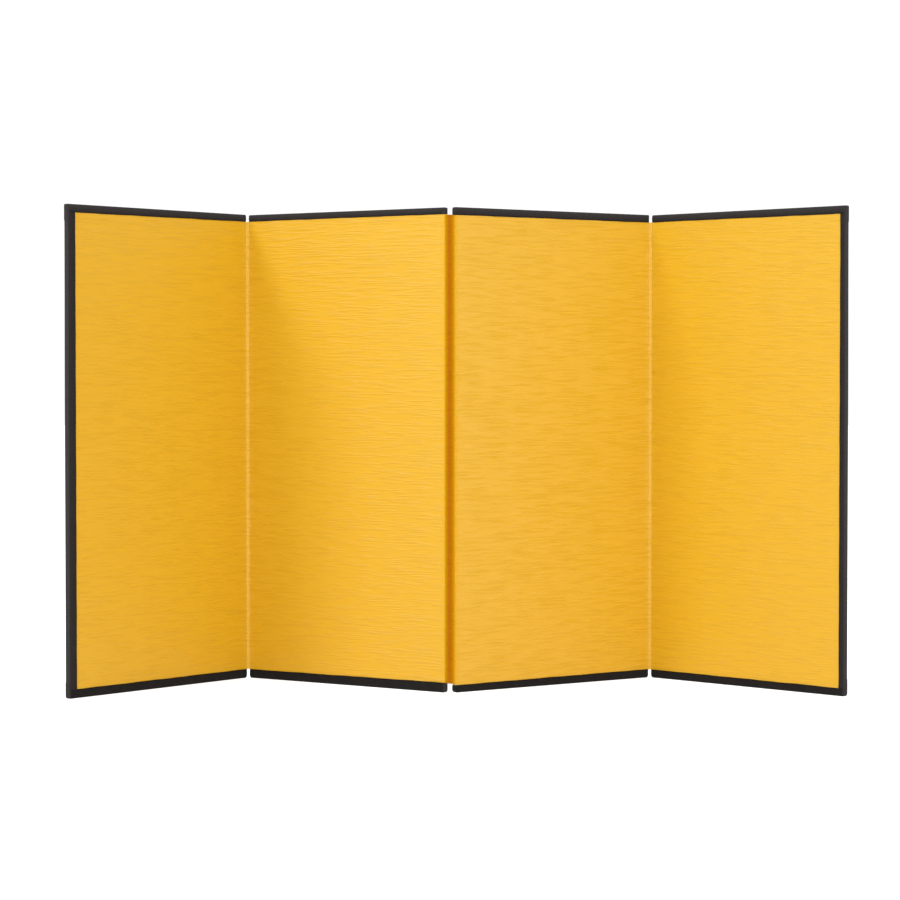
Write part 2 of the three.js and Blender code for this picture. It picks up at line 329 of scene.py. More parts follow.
def slubbed_weave():
    """Geometry Nodes: raises the yarns of a cloth's face, thicker where a yarn is slubbed.

    It reads three point attributes: place, the point's place on the cloth in metres, face,
    the way the cloth faces, and raise, 1 on the face and 0 on its back and edges.
    """
    tree = bpy.data.node_groups.new("slubbed_weave", "GeometryNodeTree")
    sockets = tree.interface
    sockets.new_socket("Geometry", in_out="INPUT", socket_type="NodeSocketGeometry")
    sizes = {
        "Yarn Row": YARN_ROW,
        "Slub Length": SLUB_LENGTH,
        "Slub Height": SLUB_HEIGHT,
        "Yarn Height": YARN_HEIGHT,
    }
    for name, size in sizes.items():
        socket = sockets.new_socket(name, in_out="INPUT", socket_type="NodeSocketFloat")
        socket.default_value = size
    seed = sockets.new_socket("Seed", in_out="INPUT", socket_type="NodeSocketFloat")
    seed.default_value = 3.0
    sockets.new_socket("Cloth", in_out="INPUT", socket_type="NodeSocketMaterial")
    sockets.new_socket("Geometry", in_out="OUTPUT", socket_type="NodeSocketGeometry")

    def add(kind, wires=(), **settings):
        node = tree.nodes.new(kind)
        for key, value in settings.items():
            setattr(node, key, value)
        for socket, source in dict(wires).items():
            if isinstance(source, bpy.types.NodeSocket):
                tree.links.new(source, node.inputs[socket])
            else:
                node.inputs[socket].default_value = source
        return node

    def maths(operation, first, second):
        return add("ShaderNodeMath", {0: first, 1: second}, operation=operation).outputs[0]

    def attribute(name, kind):
        return add("GeometryNodeInputNamedAttribute", {"Name": name}, data_type=kind).outputs["Attribute"]

    inputs = add("NodeGroupInput").outputs
    place = add("ShaderNodeSeparateXYZ", {"Vector": attribute("place", "FLOAT_VECTOR")})
    row = maths("DIVIDE", place.outputs["Y"], inputs["Yarn Row"])
    rows = add("ShaderNodeMath", {0: row}, operation="ROUND")
    lengths = maths("DIVIDE", place.outputs["X"], inputs["Slub Length"])

    def yarn_noise(length_scale, row_scale, seed_step):
        where = add(
            "ShaderNodeCombineXYZ",
            {
                "X": maths("MULTIPLY", lengths, length_scale),
                "Y": maths("MULTIPLY", rows.outputs[0], row_scale),
                "Z": maths("ADD", inputs["Seed"], seed_step),
            },
        )
        noise = add("ShaderNodeTexNoise", {"Vector": where.outputs[0], "Scale": 1.0, "Detail": 0.0})
        return noise.outputs["Fac"]

    slub = add(
        "ShaderNodeMapRange",
        {"Value": yarn_noise(1.0, ROW_STEP, 0.0), "From Min": 0.50, "From Max": 0.68},
        interpolation_type="SMOOTHSTEP",
    )
    uneven = maths("SUBTRACT", yarn_noise(2.5, 2 * ROW_STEP, 7.0), 0.5)
    relief = maths(
        "ADD",
        maths("MULTIPLY", slub.outputs["Result"], inputs["Slub Height"]),
        maths("MULTIPLY", maths("MULTIPLY", uneven, 2.0), inputs["Yarn Height"]),
    )
    sunk = maths("SUBTRACT", relief, inputs["Slub Height"])
    raised = maths("MULTIPLY", sunk, attribute("raise", "FLOAT"))
    offset = add("ShaderNodeVectorMath", {0: attribute("face", "FLOAT_VECTOR")}, operation="SCALE")
    tree.links.new(raised, offset.inputs["Scale"])
    moved = add(
        "GeometryNodeSetPosition",
        {"Geometry": inputs["Geometry"], "Offset": offset.outputs["Vector"]},
    )
    real = add("GeometryNodeRealizeInstances", {"Geometry": moved.outputs["Geometry"]})
    dressed = add(
        "GeometryNodeSetMaterial",
        {"Geometry": real.outputs["Geometry"], "Material": inputs["Cloth"]},
    )
    add("NodeGroupOutput", {"Geometry": dressed.outputs["Geometry"]})
    return tree


weave = slubbed_weave()


def make_mesh(name, points, faces):
    """A smooth mesh piece at the origin, with its place in its points."""
    mesh = bpy.data.meshes.new(name)
    mesh.from_pydata(points.tolist(), [], faces)
    mesh.polygons.foreach_set("use_smooth", np.ones(len(mesh.polygons), bool))
    mesh.set_sharp_from_angle(angle=math.radians(50))
    piece = bpy.data.objects.new(name, mesh)
    bpy.context.scene.collection.objects.link(piece)
    return piece


def set_attribute(mesh, name, kind, values):
    """A number or a direction kept on every point of a mesh."""
    attribute = mesh.attributes.new(name, kind, "POINT")
    field = "vector" if kind == "FLOAT_VECTOR" else "value"
    attribute.data.foreach_set(field, np.ascontiguousarray(values, np.float32).ravel())


def wrap_pattern(mesh, layer, places):
    """A UV map in metres, from each point's place on the unrolled piece."""
    corners = np.empty(len(mesh.loops), np.int32)
    mesh.loops.foreach_get("vertex_index", corners)
    uv = mesh.uv_layers.new(name=layer)
    uv.data.foreach_set("uv", np.ascontiguousarray(places[corners, :2], np.float32).ravel())


def weave_cloth(piece, places, facing, raised, material, shade_in_groove=None):
    """Raises the yarns on a finished sheet and leaves a plain mesh in the gold cloth.

    Its last argument says how much painted shade darkens the cloth, from 0 (none) to 1, where a fold's groove
    lies in shade.
    """
    mesh = piece.data
    set_attribute(mesh, "groove_shade", "FLOAT", np.zeros(len(places)) if shade_in_groove is None else shade_in_groove)
    wrap_pattern(mesh, "cloth", places)
    flat = np.column_stack([places[:, 0], places[:, 1], np.zeros(len(places))])
    set_attribute(mesh, "place", "FLOAT_VECTOR", flat)
    set_attribute(mesh, "face", "FLOAT_VECTOR", facing)
    set_attribute(mesh, "raise", "FLOAT", raised)
    modifier = piece.modifiers.new("weave", "NODES")
    modifier.node_group = weave
    cloth = next(s for s in weave.interface.items_tree if s.name == "Cloth")
    modifier[cloth.identifier] = material
    graph = bpy.context.evaluated_depsgraph_get()
    woven = bpy.data.meshes.new_from_object(piece.evaluated_get(graph), depsgraph=graph)
    piece.modifiers.clear()
    piece.data = woven
    woven.name = piece.name
    for spent in ("place", "face", "raise"):
        woven.attributes.remove(woven.attributes[spent])


def grid_faces(rows, columns, start=0, flip=False):
    """Quads of a grid whose points run along each row, then row by row upwards."""
    corner = start + np.arange(rows - 1)[:, None] * columns + np.arange(columns - 1)[None, :]
    quads = np.stack([corner, corner + 1, corner + columns + 1, corner + columns], -1).reshape(-1, 4)
    return (quads[:, ::-1] if flip else quads).tolist()


def rim_of(rows, columns):
    """The points round a grid's edge, anticlockwise from its lower left corner."""
    low = np.arange(columns)
    right = np.arange(1, rows) * columns + columns - 1
    high = (rows - 1) * columns + np.arange(columns - 2, -1, -1)
    left = np.arange(rows - 2, 0, -1) * columns
    return np.concatenate([low, right, high, left])


def corner_inset(height, low, high, low_radius, high_radius):
    """How far a rounded panel's side is drawn in at each height between low and high."""
    below = np.clip(1 - (height - low) / low_radius, 0, 1)
    above = np.clip(1 - (high - height) / high_radius, 0, 1)
    return low_radius * (1 - np.sqrt(1 - below**2)) + high_radius * (1 - np.sqrt(1 - above**2))


TOP_CORNER = 0.5 * MM
BOTTOM_CORNER = 1.2 * MM


def laid_sheet(name, panel, node, columns, row_height, faces_front):
    """A thin closed sheet in the place of a CAD layer, with a fine grid on its outer face."""
    low, high = reach(panel, node)
    first = math.ceil(low[2] / row_height + 0.25)
    last = math.floor(high[2] / row_height - 0.25)
    heights = np.concatenate([[low[2]], np.arange(first, last + 1) * row_height, [high[2]]])
    inset = corner_inset(heights, low[2], high[2], BOTTOM_CORNER - low[2], TOP_CORNER - low[2])
    share = np.linspace(0, 1, columns)
    left, right = low[0] + inset, high[0] - inset
    across = left[:, None] + (right - left)[:, None] * share[None, :]
    rows = len(heights)
    face_depth, back_depth = (low[1], high[1]) if faces_front else (high[1], low[1])
    face = np.column_stack(
        [across.ravel(), np.full(rows * columns, face_depth), np.repeat(heights, columns)]
    )
    rim = rim_of(rows, columns)
    back = face[rim].copy()
    back[:, 1] = back_depth
    count = len(face)
    faces = grid_faces(rows, columns, flip=not faces_front)
    rim_next = np.roll(rim, -1)
    back_index = count + np.arange(len(rim))
    back_next = np.roll(back_index, -1)
    sides = np.column_stack([rim_next, rim, back_index, back_next])
    closing = back_index[::-1]
    if not faces_front:
        sides, closing = sides[:, ::-1], closing[::-1]
    faces += sides.tolist() + [closing.tolist()]
    flat = np.concatenate([face, back])
    piece = make_mesh(name, stand_up(panel, flat), faces)
    raised = np.concatenate([np.ones(count), np.zeros(len(rim))])
    raised[rim] = 0.0
    return piece, flat, raised


# Where each panel's left edge lies on the cloth, unrolled across the folds.
FOLD_ALLOWANCE = 4 * MM
cloth_start = {}
unrolled = 0.0
for panel in PANELS:
    low, high = reach(panel, f"{panel}_gold_cloth")
    cloth_start[panel] = unrolled - low[0]
    unrolled += high[0] - low[0] + FOLD_ALLOWANCE

for panel in PANELS:
    node = f"{panel}_gold_cloth"
    piece, flat, raised = laid_sheet(f"{panel}_facing", panel, node, FACING_COLUMNS, YARN_ROW, True)
    _, inward = plan_directions(panel)
    facing = np.tile([-inward[0], -inward[1], 0.0], (len(flat), 1))
    places = np.column_stack([flat[:, 0] + cloth_start[panel], flat[:, 2]])
    weave_cloth(piece, places, facing, raised, gold_material)
    low, high = reach(panel, node)
    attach(piece, panel)
    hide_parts(node)

# ---------------------------------------------------------------- back linings
# Plain charcoal paper with long kozo fibres, pasted on each board's back. It has dried a
# little cockled, because paper shrinks as its paste dries.


def lining_paper():
    """Charcoal paper with a cloudy tone and pale hair-like fibres."""
    material, shader, add, wire = new_material("lining_paper")
    place = add("ShaderNodeTexCoord").outputs["Object"]
    clouds = add("ShaderNodeTexNoise", {"Vector": place, "Scale": 90.0, "Detail": 5.0})
    bent = add("ShaderNodeTexNoise", {"Vector": place, "Scale": 220.0, "Detail": 1.0})
    shifted = add(
        "ShaderNodeMix",
        {"Factor": 0.012, "A": place, "B": bent.outputs["Color"]},
        data_type="VECTOR",
    )
    fibres = add(
        "ShaderNodeTexVoronoi",
        {"Vector": shifted.outputs[1], "Scale": 420.0},
        feature="DISTANCE_TO_EDGE",
    )
    hair = add("ShaderNodeMapRange", {"Value": fibres.outputs["Distance"], "From Max": 0.05})
    tone = add("ShaderNodeValToRGB", {"Fac": clouds.outputs["Fac"]})
    tone.color_ramp.elements[0].position = 0.3
    tone.color_ramp.elements[0].color = (0.036, 0.034, 0.036, 1)
    tone.color_ramp.elements[1].position = 0.75
    tone.color_ramp.elements[1].color = (0.058, 0.055, 0.056, 1)
    colour = add(
        "ShaderNodeMix",
        {"Factor": hair.outputs["Result"], "A": (0.085, 0.080, 0.078, 1), "B": tone.outputs["Color"]},
        data_type="RGBA",
    )
    bump = add("ShaderNodeBump", {"Strength": 0.3, "Distance": 0.00005, "Height": clouds.outputs["Fac"]})
    wire(colour.outputs["Result"], shader.inputs["Base Color"])
    wire(bump.outputs["Normal"], shader.inputs["Normal"])
    shader.inputs["Roughness"].default_value = 0.85
    return material


paper_material = lining_paper()
COCKLE = 0.03 * MM
PAPER_COLUMNS = 48
PAPER_ROW = 2.2 * MM

for number, panel in enumerate(PANELS):
    node = f"{panel}_back_paper"
    piece, flat, raised = laid_sheet(f"{panel}_lining", panel, node, PAPER_COLUMNS, PAPER_ROW, False)
    _, inward = plan_directions(panel)
    swell = np.sin(flat[:, 0] * 130 + number) * np.sin(flat[:, 2] * 95 + 2 * number)
    swell += np.sin(flat[:, 0] * 47 - flat[:, 2] * 61 + number)
    moved = np.empty(len(flat) * 3, np.float32)
    piece.data.vertices.foreach_get("co", moved)
    moved = moved.reshape(-1, 3)
    moved[:, :2] += (COCKLE * 0.5 * swell * raised)[:, None] * inward[None, :]
    piece.data.vertices.foreach_set("co", moved.ravel())
    piece.data.materials.append(paper_material)
    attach(piece, panel)
    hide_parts(node)

# ---------------------------------------------------------------- folds
# Strips of the same cloth and paper hinge the panels. On a fold's tight side the strip runs
# straight across the gap; on its open side the lining dips into the groove between the boards.

BOARD_ROUND = 0.3 * MM


def fold_path(left_panel, right_panel, node_kind, faces_front, slack, groove_depth=None):
    """The line in plan that a fold's cloth or paper follows on its outer face, left to right.

    Without a groove depth it runs across the gap, and with one it goes round the boards'
    corners and that far down their ends, before it crosses. Slack says how far it carries
    on in each side's direction before it turns.
    """
    sides = []
    for panel, end in ((left_panel, 1), (right_panel, 0)):
        along, inward = plan_directions(panel)
        low, high = reach(panel, f"{panel}_{node_kind}")
        edge = (low, high)[end][0]
        outwards = 1 if end == 1 else -1
        depth = low[1] if faces_front else high[1]
        deeper = 1 if faces_front else -1
        line = [(edge, depth)]
        if groove_depth is not None:
            for turn in np.radians([15, 30, 45, 60, 75, 90]):
                round_u = outwards * BOARD_ROUND * math.sin(turn)
                round_v = deeper * BOARD_ROUND * (1 - math.cos(turn))
                line.append((edge + round_u, depth + round_v))
            for share in (0.4, 0.6, 0.8, 1.0):
                line.append((edge + outwards * BOARD_ROUND, depth + deeper * groove_depth * share))
            heading = inward * deeper
        else:
            heading = along * outwards
        plan = [u * along + v * inward for u, v in line]
        sides.append((plan, heading))
    (left_line, left_heading), (right_line, right_heading) = sides
    start, finish = left_line[-1], right_line[-1]
    pull = slack * np.linalg.norm(finish - start)
    bridge = []
    for t in np.linspace(0, 1, 9)[1:-1]:
        bridge.append(
            (1 - t) ** 3 * start
            + 3 * (1 - t) ** 2 * t * (start + pull * left_heading)
            + 3 * (1 - t) * t**2 * (finish + pull * right_heading)
            + t**3 * finish
        )
    return np.array(left_line + bridge + right_line[::-1])


def smooth_step(low, high, value):
    """Rises gently from 0 at low to 1 at high."""
    share = np.clip((value - low) / (high - low), 0, 1)
    return share * share * (3 - 2 * share)


def binding_width(panel, edge):
    """How far a binding reaches over a panel's face, read at an end that meets a fold."""
    points = local_points(panel, f"{panel}_{edge}_binding")
    at_left = points[:, 0] < points[:, 0].min() + 0.05 * MM
    at_right = points[:, 0] > points[:, 0].max() - 0.05 * MM
    heights = points[at_left if panel == "panel_4" else at_right, 2]
    return screen_height - heights.min() if edge == "top" else heights.max()


def fold_strip(name, left_panel, right_panel, path, thickness, faces_front, row_height):
    """A thin closed strip up a fold, from the bottom bindings to the top bindings."""
    steps = np.linalg.norm(np.diff(path, axis=0), axis=1)
    run = np.concatenate([[0], np.cumsum(steps)])
    share = run / run[-1]
    lows = [binding_width(panel, "bottom") for panel in (left_panel, right_panel)]
    highs = [screen_height - binding_width(panel, "top") for panel in (left_panel, right_panel)]
    bottom = lows[0] + (lows[1] - lows[0]) * share
    top = highs[0] + (highs[1] - highs[0]) * share
    first = math.ceil(bottom.max() / row_height + 0.25)
    last = math.floor(top.min() / row_height - 0.25)
    inner_rows = np.arange(first, last + 1) * row_height
    heights = np.vstack([bottom, np.repeat(inner_rows[:, None], len(path), 1), top])
    tangent = np.gradient(path, run, axis=0)
    tangent /= np.linalg.norm(tangent, axis=1)[:, None]
    side = 1 if faces_front else -1
    normal = np.column_stack([tangent[:, 1], -tangent[:, 0]]) * side
    rows, columns = heights.shape
    outer = np.column_stack([np.tile(path, (rows, 1)), heights.ravel()])
    inner = np.column_stack([np.tile(path - normal * thickness, (rows, 1)), heights.ravel()])
    count = len(outer)
    faces = grid_faces(rows, columns, flip=not faces_front)
    faces += grid_faces(rows, columns, start=count, flip=faces_front)
    rim = rim_of(rows, columns)
    rim_next = np.roll(rim, -1)
    sides = np.column_stack([rim_next, rim, rim + count, rim_next + count])
    faces += (sides if faces_front else sides[:, ::-1]).tolist()
    piece = make_mesh(name, np.concatenate([outer, inner]), faces)
    places = np.tile(np.column_stack([np.tile(run, rows), heights.ravel()]), (2, 1))
    facing = np.tile(np.column_stack([normal, np.zeros(columns)]), (2 * rows, 1))
    raised = np.concatenate([np.ones(count), np.zeros(count)])
    raised[rim] = 0.0
    # Painted shade for the groove: darkest half way across the fold, fading towards the boards' corners.
    shade_in_groove = np.tile(0.15 + 0.85 * smooth_step(0.15, 0.85, 1 - np.abs(2 * share - 1)), 2 * rows)
    return piece, places, facing, raised, shade_in_groove


FOLDS = (
    ("left_valley", "panel_1", "panel_2", "valley"),
    ("centre_mountain", "panel_2", "panel_3", "mountain"),
    ("right_valley", "panel_3", "panel_4", "valley"),
)
# The mountain groove's cloth: little gloss, and it carries the groove's painted shade.
shaded_groove_material = gold_cloth("shaded_groove_gold_cloth", 0.03)
CLOTH_THICKNESS = 0.22 * MM
PAPER_THICKNESS = 0.13 * MM
CLOTH_GROOVE = 1.25 * MM
PAPER_GROOVE = 0.80 * MM

for fold, left_panel, right_panel, kind in FOLDS:
    cloth_depth = None if kind == "valley" else CLOTH_GROOVE
    paper_depth = PAPER_GROOVE if kind == "valley" else None
    cloth_slack, paper_slack = (0.30, 0.10) if kind == "valley" else (0.18, 0.15)
    cloth_path = fold_path(left_panel, right_panel, "gold_cloth", True, cloth_slack, cloth_depth)
    paper_path = fold_path(left_panel, right_panel, "back_paper", False, paper_slack, paper_depth)
    cloth_name = f"{fold}_cloth"
    cloth, places, facing, raised, shade_in_groove = fold_strip(
        cloth_name, left_panel, right_panel, cloth_path, CLOTH_THICKNESS, True, YARN_ROW
    )
    left_end = reach(left_panel, f"{left_panel}_gold_cloth")[1][0] + cloth_start[left_panel]
    places[:, 0] += left_end
    if kind == "mountain":
        weave_cloth(cloth, places, facing, raised, shaded_groove_material, shade_in_groove)
    else:
        weave_cloth(cloth, places, facing, raised, gold_material)
    paper, *_ = fold_strip(
        f"{fold}_paper", left_panel, right_panel, paper_path, PAPER_THICKNESS, False, PAPER_ROW
    )
    paper.data.materials.append(paper_material)
    cloth_node = "cloth_strip" if kind == "valley" else "groove_lining"
    paper_node = "groove_lining" if kind == "valley" else "paper_strip"
    for piece, node, slot in ((cloth, cloth_node, "gold_cloth"), (paper, paper_node, "back_paper")):
        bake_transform(piece)
        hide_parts(f"{fold}_{node}")

# ---------------------------------------------------------------- side bindings
# Black cotton tape, folded round the outer edge of each end panel and pasted down in front
# and behind. Its ends run on under the top and bottom bindings.

TAPE_PITCH = 0.36 * MM


def cotton_tape():
    """Black plain-weave tape: a charcoal tone that is a little uneven, with a nap on it."""
    material, shader, add, wire = new_material("cotton_tape")
    place = add("ShaderNodeUVMap", uv_map="tape").outputs["UV"]
    pitch = math.tau / TAPE_PITCH
    threads = add("ShaderNodeMapping", {"Vector": place, "Scale": (pitch, pitch, 1.0)})
    split = add("ShaderNodeSeparateXYZ", {"Vector": threads.outputs[0]})
    warp = add("ShaderNodeMath", {0: split.outputs["X"]}, operation="SINE")
    weft = add("ShaderNodeMath", {0: split.outputs["Y"]}, operation="SINE")
    crossing = add("ShaderNodeMath", {0: warp.outputs[0], 1: weft.outputs[0]}, operation="MULTIPLY")
    fuzz = add("ShaderNodeTexNoise", {"Vector": place, "Scale": 260.0, "Detail": 5.0, "Roughness": 0.65})
    tone = add("ShaderNodeValToRGB", {"Fac": fuzz.outputs["Fac"]})
    tone.color_ramp.elements[0].position = 0.3
    tone.color_ramp.elements[0].color = (0.0040, 0.0032, 0.0032, 1)
    tone.color_ramp.elements[1].position = 0.75
    tone.color_ramp.elements[1].color = (0.0088, 0.0074, 0.0073, 1)
    # Painted highlight, with some wear: a point attribute lightens the tape towards a warmer grey on its
    # folded ridges, most along the top bindings' upper fold and round the side tapes' outer edge.
    worn_and_lit = add("ShaderNodeAttribute", attribute_name="wear_and_highlight").outputs["Fac"]
    lit_and_worn_tone = add(
        "ShaderNodeMix",
        {"Factor": worn_and_lit, "A": tone.outputs["Color"], "B": (0.0285, 0.0245, 0.0245, 1)},
        data_type="RGBA",
    )
    height = add(
        "ShaderNodeMath",
        {0: crossing.outputs[0], 1: 0.5, 2: fuzz.outputs["Fac"]},
        operation="MULTIPLY_ADD",
    )
    bump = add("ShaderNodeBump", {"Strength": 0.5, "Distance": 0.00005, "Height": height.outputs[0]})
    wire(lit_and_worn_tone.outputs["Result"], shader.inputs["Base Color"])
    wire(bump.outputs["Normal"], shader.inputs["Normal"])
    shader.inputs["Roughness"].default_value = 0.8
    shader.inputs["Specular IOR Level"].default_value = 0.12
    shader.inputs["Sheen Weight"].default_value = 0.05
    shader.inputs["Sheen Roughness"].default_value = 0.5
    return material


tape_material = cotton_tape()
TAPE_THICKNESS = 0.15 * MM
SIDE_PUFF = 0.24 * MM
FOOT_PUFF = 0.20 * MM
# The tape stands off the foot of the side a little more, from the first height to the second.
FOOT_PUFF_HEIGHTS = (200 * MM, 120 * MM)


def wavy(along, size, turn):
    """A hand-cut edge's slow wander, between about minus and plus that size."""
    return size * (0.6 * np.sin(along * 210 + turn) + 0.4 * np.sin(along * 530 + 2.1 * turn))


def wrap_tube(mesh, layer, places, girth):
    """A UV map in metres round a closed piece, joined up where its girth comes full circle."""
    wrap_pattern(mesh, layer, places)
    count = len(mesh.loops)
    uv = np.empty(count * 2, np.float32)
    mesh.uv_layers[layer].data.foreach_get("uv", uv)
    uv = uv.reshape(-1, 2)
    starts = np.empty(len(mesh.polygons), np.int32)
    sizes = np.empty(len(mesh.polygons), np.int32)
    mesh.polygons.foreach_get("loop_start", starts)
    mesh.polygons.foreach_get("loop_total", sizes)
    widest = np.repeat(np.maximum.reduceat(uv[:, 0], starts), sizes)
    behind = (widest - uv[:, 0] > girth / 2) & (np.repeat(sizes, sizes) == 4)
    uv[behind, 0] += girth
    mesh.uv_layers[layer].data.foreach_set("uv", uv.ravel())


def side_tape(name, panel, node, outwards, turn):
    """A strip folded round an outer edge: the section is a U, and it is swept upwards."""
    points = local_points(panel, node)
    low, high = points.min(0), points.max(0)
    web_edge = low[0] - SIDE_PUFF if outwards < 0 else high[0] + SIDE_PUFF
    width = high[0] - low[0] + SIDE_PUFF
    front, back = low[1] + 0.01 * MM, high[1] - 0.01 * MM
    rows = int((high[2] - low[2]) / (1.1 * MM)) + 1
    heights = np.linspace(low[2], high[2], rows)
    corner = 0.3 * MM

    def section(inset):
        """One face of the U in plan: its near flange, two rounded corners and its far flange."""
        radius = corner - inset
        turns = np.linspace(0, math.pi / 2, 6)
        flat = np.linspace(1, 0.12, 7)
        near = [(share, front + inset) for share in flat]
        far = [(share, back - inset) for share in flat[::-1]]
        rounded = [(radius * (1 - math.sin(t)), radius * (1 - math.cos(t))) for t in turns]
        first = [(u, front + inset + v) for u, v in rounded]
        last = [(u, front + back - v) for u, v in first[::-1]]
        return near, first, last, far

    loops = []
    wear_and_highlight = []
    for height in heights:
        bulge = FOOT_PUFF * smooth_step(*FOOT_PUFF_HEIGHTS, height)
        web = web_edge + outwards * bulge
        front_width = width + bulge + wavy(height, 0.06 * MM, turn) - 0.06 * MM
        back_width = width + bulge + wavy(height, 0.06 * MM, turn + 2) - 0.06 * MM
        loop = []
        for inset in (0.0, TAPE_THICKNESS):
            near, first, last, far = section(inset)
            line = [(web - outwards * front_width * share, v) for share, v in near]
            line += [(web - outwards * (inset + u), v) for u, v in first]
            line += [(web - outwards * (inset + u), v) for u, v in last]
            line += [(web - outwards * back_width * share, v) for share, v in far]
            loop.append(line)
        outer, inner = loop
        rim_back = (outer[-1][0] - outwards * TAPE_THICKNESS * 0.4, (outer[-1][1] + inner[-1][1]) / 2)
        rim_front = (outer[0][0] - outwards * TAPE_THICKNESS * 0.4, (outer[0][1] + inner[0][1]) / 2)
        whole = outer + [rim_back] + inner[::-1] + [rim_front]
        # Painted highlight with some wear: lightest round the web, where the tape faces sideways, and darker
        # out along the flanges.
        flange_wear_and_highlight = [0.0, 0.35, 0.4, 0.4, 0.45, 0.5, 0.6]
        ridge = [1.0] * (len(outer) - 2 * len(flange_wear_and_highlight))
        wear_and_highlight += flange_wear_and_highlight + ridge + flange_wear_and_highlight[::-1] + [0.0] * (len(whole) - len(outer))
        loops.append([(u, v, height) for u, v in whole])
    flat = np.array(loops).reshape(-1, 3)
    around = len(loops[0])
    half = (around - 2) // 2
    row = np.arange(rows - 1)[:, None] * around
    one = np.arange(around)[None, :]
    two = (one + 1) % around
    quads = np.stack([row + one, row + two, row + around + two, row + around + one], -1).reshape(-1, 4)
    caps = []
    for base, up in ((0, False), ((rows - 1) * around, True)):
        for step in range(half - 1):
            quad = [base + step, base + step + 1, base + 2 * half - step - 1, base + 2 * half - step]
            caps.append(quad if up else quad[::-1])
        ends = ([base + half - 1, base + half, base + half + 1], [base + 2 * half, base + 2 * half + 1, base])
        caps += [list(end) if up else list(end)[::-1] for end in ends]
    faces = quads.tolist() + caps
    if outwards < 0:
        faces = [face[::-1] for face in faces]
    steps = np.linalg.norm(np.diff(flat[:around, :2], axis=0), axis=1)
    girth = np.concatenate([[0], np.cumsum(steps)])
    places = np.column_stack([np.tile(girth, rows), flat[:, 2]])
    piece = make_mesh(name, stand_up(panel, flat), faces)
    wrap_tube(piece.data, "tape", places, girth[-1] + TAPE_THICKNESS / 2)
    set_attribute(piece.data, "wear_and_highlight", "FLOAT", wear_and_highlight)
    piece.data.materials.append(tape_material)
    return piece


for panel, outwards, turn in (("panel_1", -1, 0.4), ("panel_4", 1, 2.9)):
    node = f"{panel}_side_binding"
    tape = side_tape(f"{panel}_side_tape", panel, node, outwards, turn)
    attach(tape, panel)
    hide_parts(node)

# ---------------------------------------------------------------- top and bottom bindings
# The same tape, folded over the top and bottom edges from end to end. At the folds it wraps
# each panel's end, and at the outer ends a tab of it is turned down over the side binding.

# How far each tape reaches over its panel's face, at its left end and at its right end.
FLANGES = {
    ("panel_1", "top"): (3.4 * MM, 3.0 * MM),
    ("panel_2", "top"): (2.95 * MM, 2.9 * MM),
    ("panel_3", "top"): (3.25 * MM, 3.3 * MM),
    ("panel_4", "top"): (3.2 * MM, 3.45 * MM),
    ("panel_1", "bottom"): (3.85 * MM, 4.0 * MM),
    ("panel_2", "bottom"): (3.9 * MM, 4.35 * MM),
    ("panel_3", "bottom"): (3.25 * MM, 3.8 * MM),
    ("panel_4", "bottom"): (3.7 * MM, 3.4 * MM),
}
TOP_LIFT = {"panel_1": 0.16 * MM, "panel_2": 0.0, "panel_3": 0.14 * MM, "panel_4": 0.02 * MM}
OUTER_END = {"panel_1": -1, "panel_4": 1}
TAB_LENGTH = 7.0 * MM
PLAN_ROUND = 0.2 * MM
PUFF = 0.16 * MM
EDGE_ROUND = 0.5 * MM
LAP = 0.17 * MM
TAPE_COLUMNS = 90


def plan_loop(low, high, inset_u, inset_v):
    """A panel's outline in plan, a loop with rounded corners, anticlockwise from front left."""
    left, right = low[0] + inset_u, high[0] - inset_u
    front, back = low[1] + inset_v, high[1] - inset_v
    radius = max(PLAN_ROUND - inset_v, 0.06 * MM)
    turns = np.linspace(0, math.pi / 2, 6)
    long = np.linspace(left + radius, right - radius, TAPE_COLUMNS)[1:-1]
    short = np.linspace(front + radius, back - radius, 4)[1:-1]
    points = []
    rounded = [(radius * (1 - math.cos(t)), radius * (1 - math.sin(t))) for t in turns]
    points += [(left + u, front + v) for u, v in rounded]
    points += [(u, front) for u in long]
    points += [(right - u, front + v) for v, u in rounded]
    points += [(right, v) for v in short]
    points += [(right - u, back - v) for u, v in rounded]
    points += [(u, back) for u in long[::-1]]
    points += [(left + u, back - v) for v, u in rounded]
    points += [(left, v) for v in short[::-1]]
    return np.array(points)


